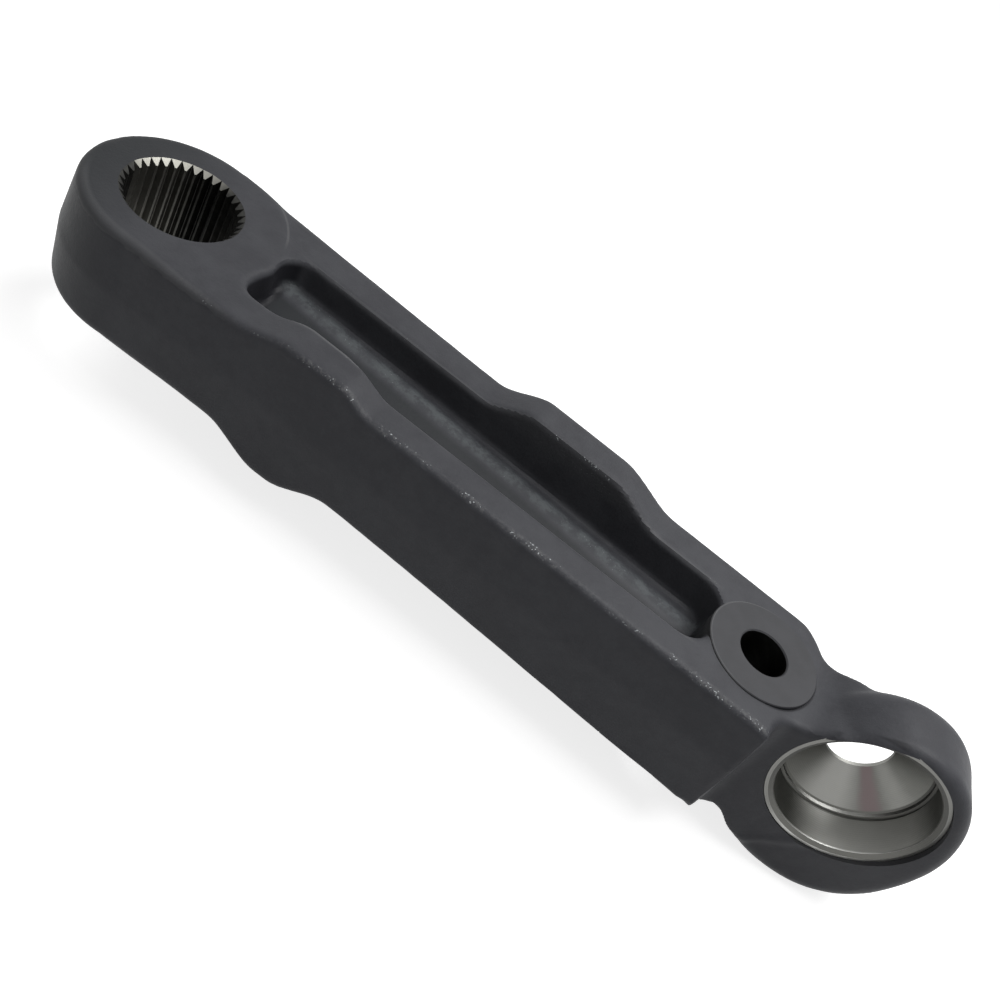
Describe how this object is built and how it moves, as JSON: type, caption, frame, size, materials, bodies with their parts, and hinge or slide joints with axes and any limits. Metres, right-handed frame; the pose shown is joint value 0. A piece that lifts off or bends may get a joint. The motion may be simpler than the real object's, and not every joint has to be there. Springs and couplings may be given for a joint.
{
  "type": "upper control arm",
  "caption": "One-piece forged steel lever arm with a serrated bore at one end, a pocketed beam, a drilled link boss and a conical ball socket at the other end.",
  "frame": {"origin": "middle of the underside of the arm's box, on the level that its lowest point touches", "axes": "+X along the arm from the serrated bore to the ball socket, +Z along the serrated bore's axis, -Y the side that the ball socket opens to"},
  "size_m": [0.4922, 0.0956, 0.112],
  "materials": {
    "charcoal_paint": "satin charcoal paint over a forged skin, with the socket turned bare"
  },
  "bodies": {
    "root": {"control_arm": "charcoal_paint"}
  },
  "joints": []
}
